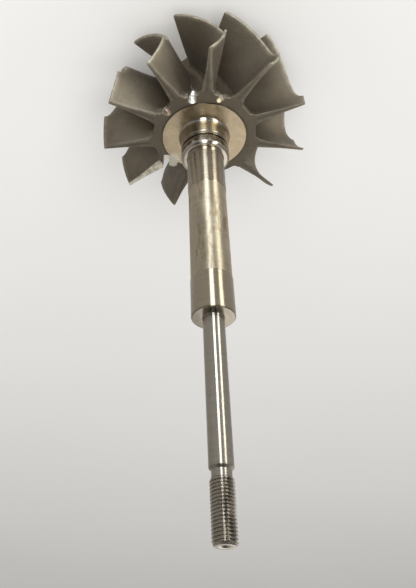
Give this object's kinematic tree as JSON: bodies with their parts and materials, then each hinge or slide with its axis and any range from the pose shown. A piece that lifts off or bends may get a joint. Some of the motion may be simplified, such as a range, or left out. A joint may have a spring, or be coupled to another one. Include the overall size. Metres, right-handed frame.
{
  "type": "turbocharger turbine wheel with shaft",
  "caption": "Scalloped cast turbine wheel with curved radial blades on a stepped, ground steel shaft that ends in a threaded stub.",
  "frame": {"origin": "centre of the flat foot of the nose hexagon, on the shaft's axis", "axes": "+Z along the shaft's axis towards the threaded end, +Y nearly along the back edge of blade_01"},
  "size_m": [0.0976, 0.0976, 0.2333],
  "materials": {
    "cast_alloy": "dark as-cast nickel alloy, matt and slightly grainy",
    "machined_back_face": "turned face, tan and mottled by heat",
    "polished_boss": "fine turned and polished, darkened by heat",
    "ground_journal": "ground bearing journal, shiny",
    "stained_relief": "turned steel with brown oil stains, duller than the journals",
    "bright_stub": "bright ground steel"
  },
  "bodies": {
    "root": {"nose_hexagon": "cast_alloy", "wheel_hub": "cast_alloy", "blade_01": "cast_alloy", "blade_02": "cast_alloy", "blade_03": "cast_alloy", "blade_04": "cast_alloy", "blade_05": "cast_alloy", "blade_06": "cast_alloy", "blade_07": "cast_alloy", "blade_08": "cast_alloy", "blade_09": "cast_alloy", "blade_10": "cast_alloy", "blade_11": "cast_alloy", "back_face_ring": "machined_back_face", "seal_boss": "polished_boss", "turbine_side_journal": "ground_journal", "relieved_middle": "stained_relief", "compressor_side_journal": "ground_journal", "stub_shaft": "bright_stub", "thread_neck": "bright_stub", "threaded_end": "bright_stub"}
  },
  "joints": []
}
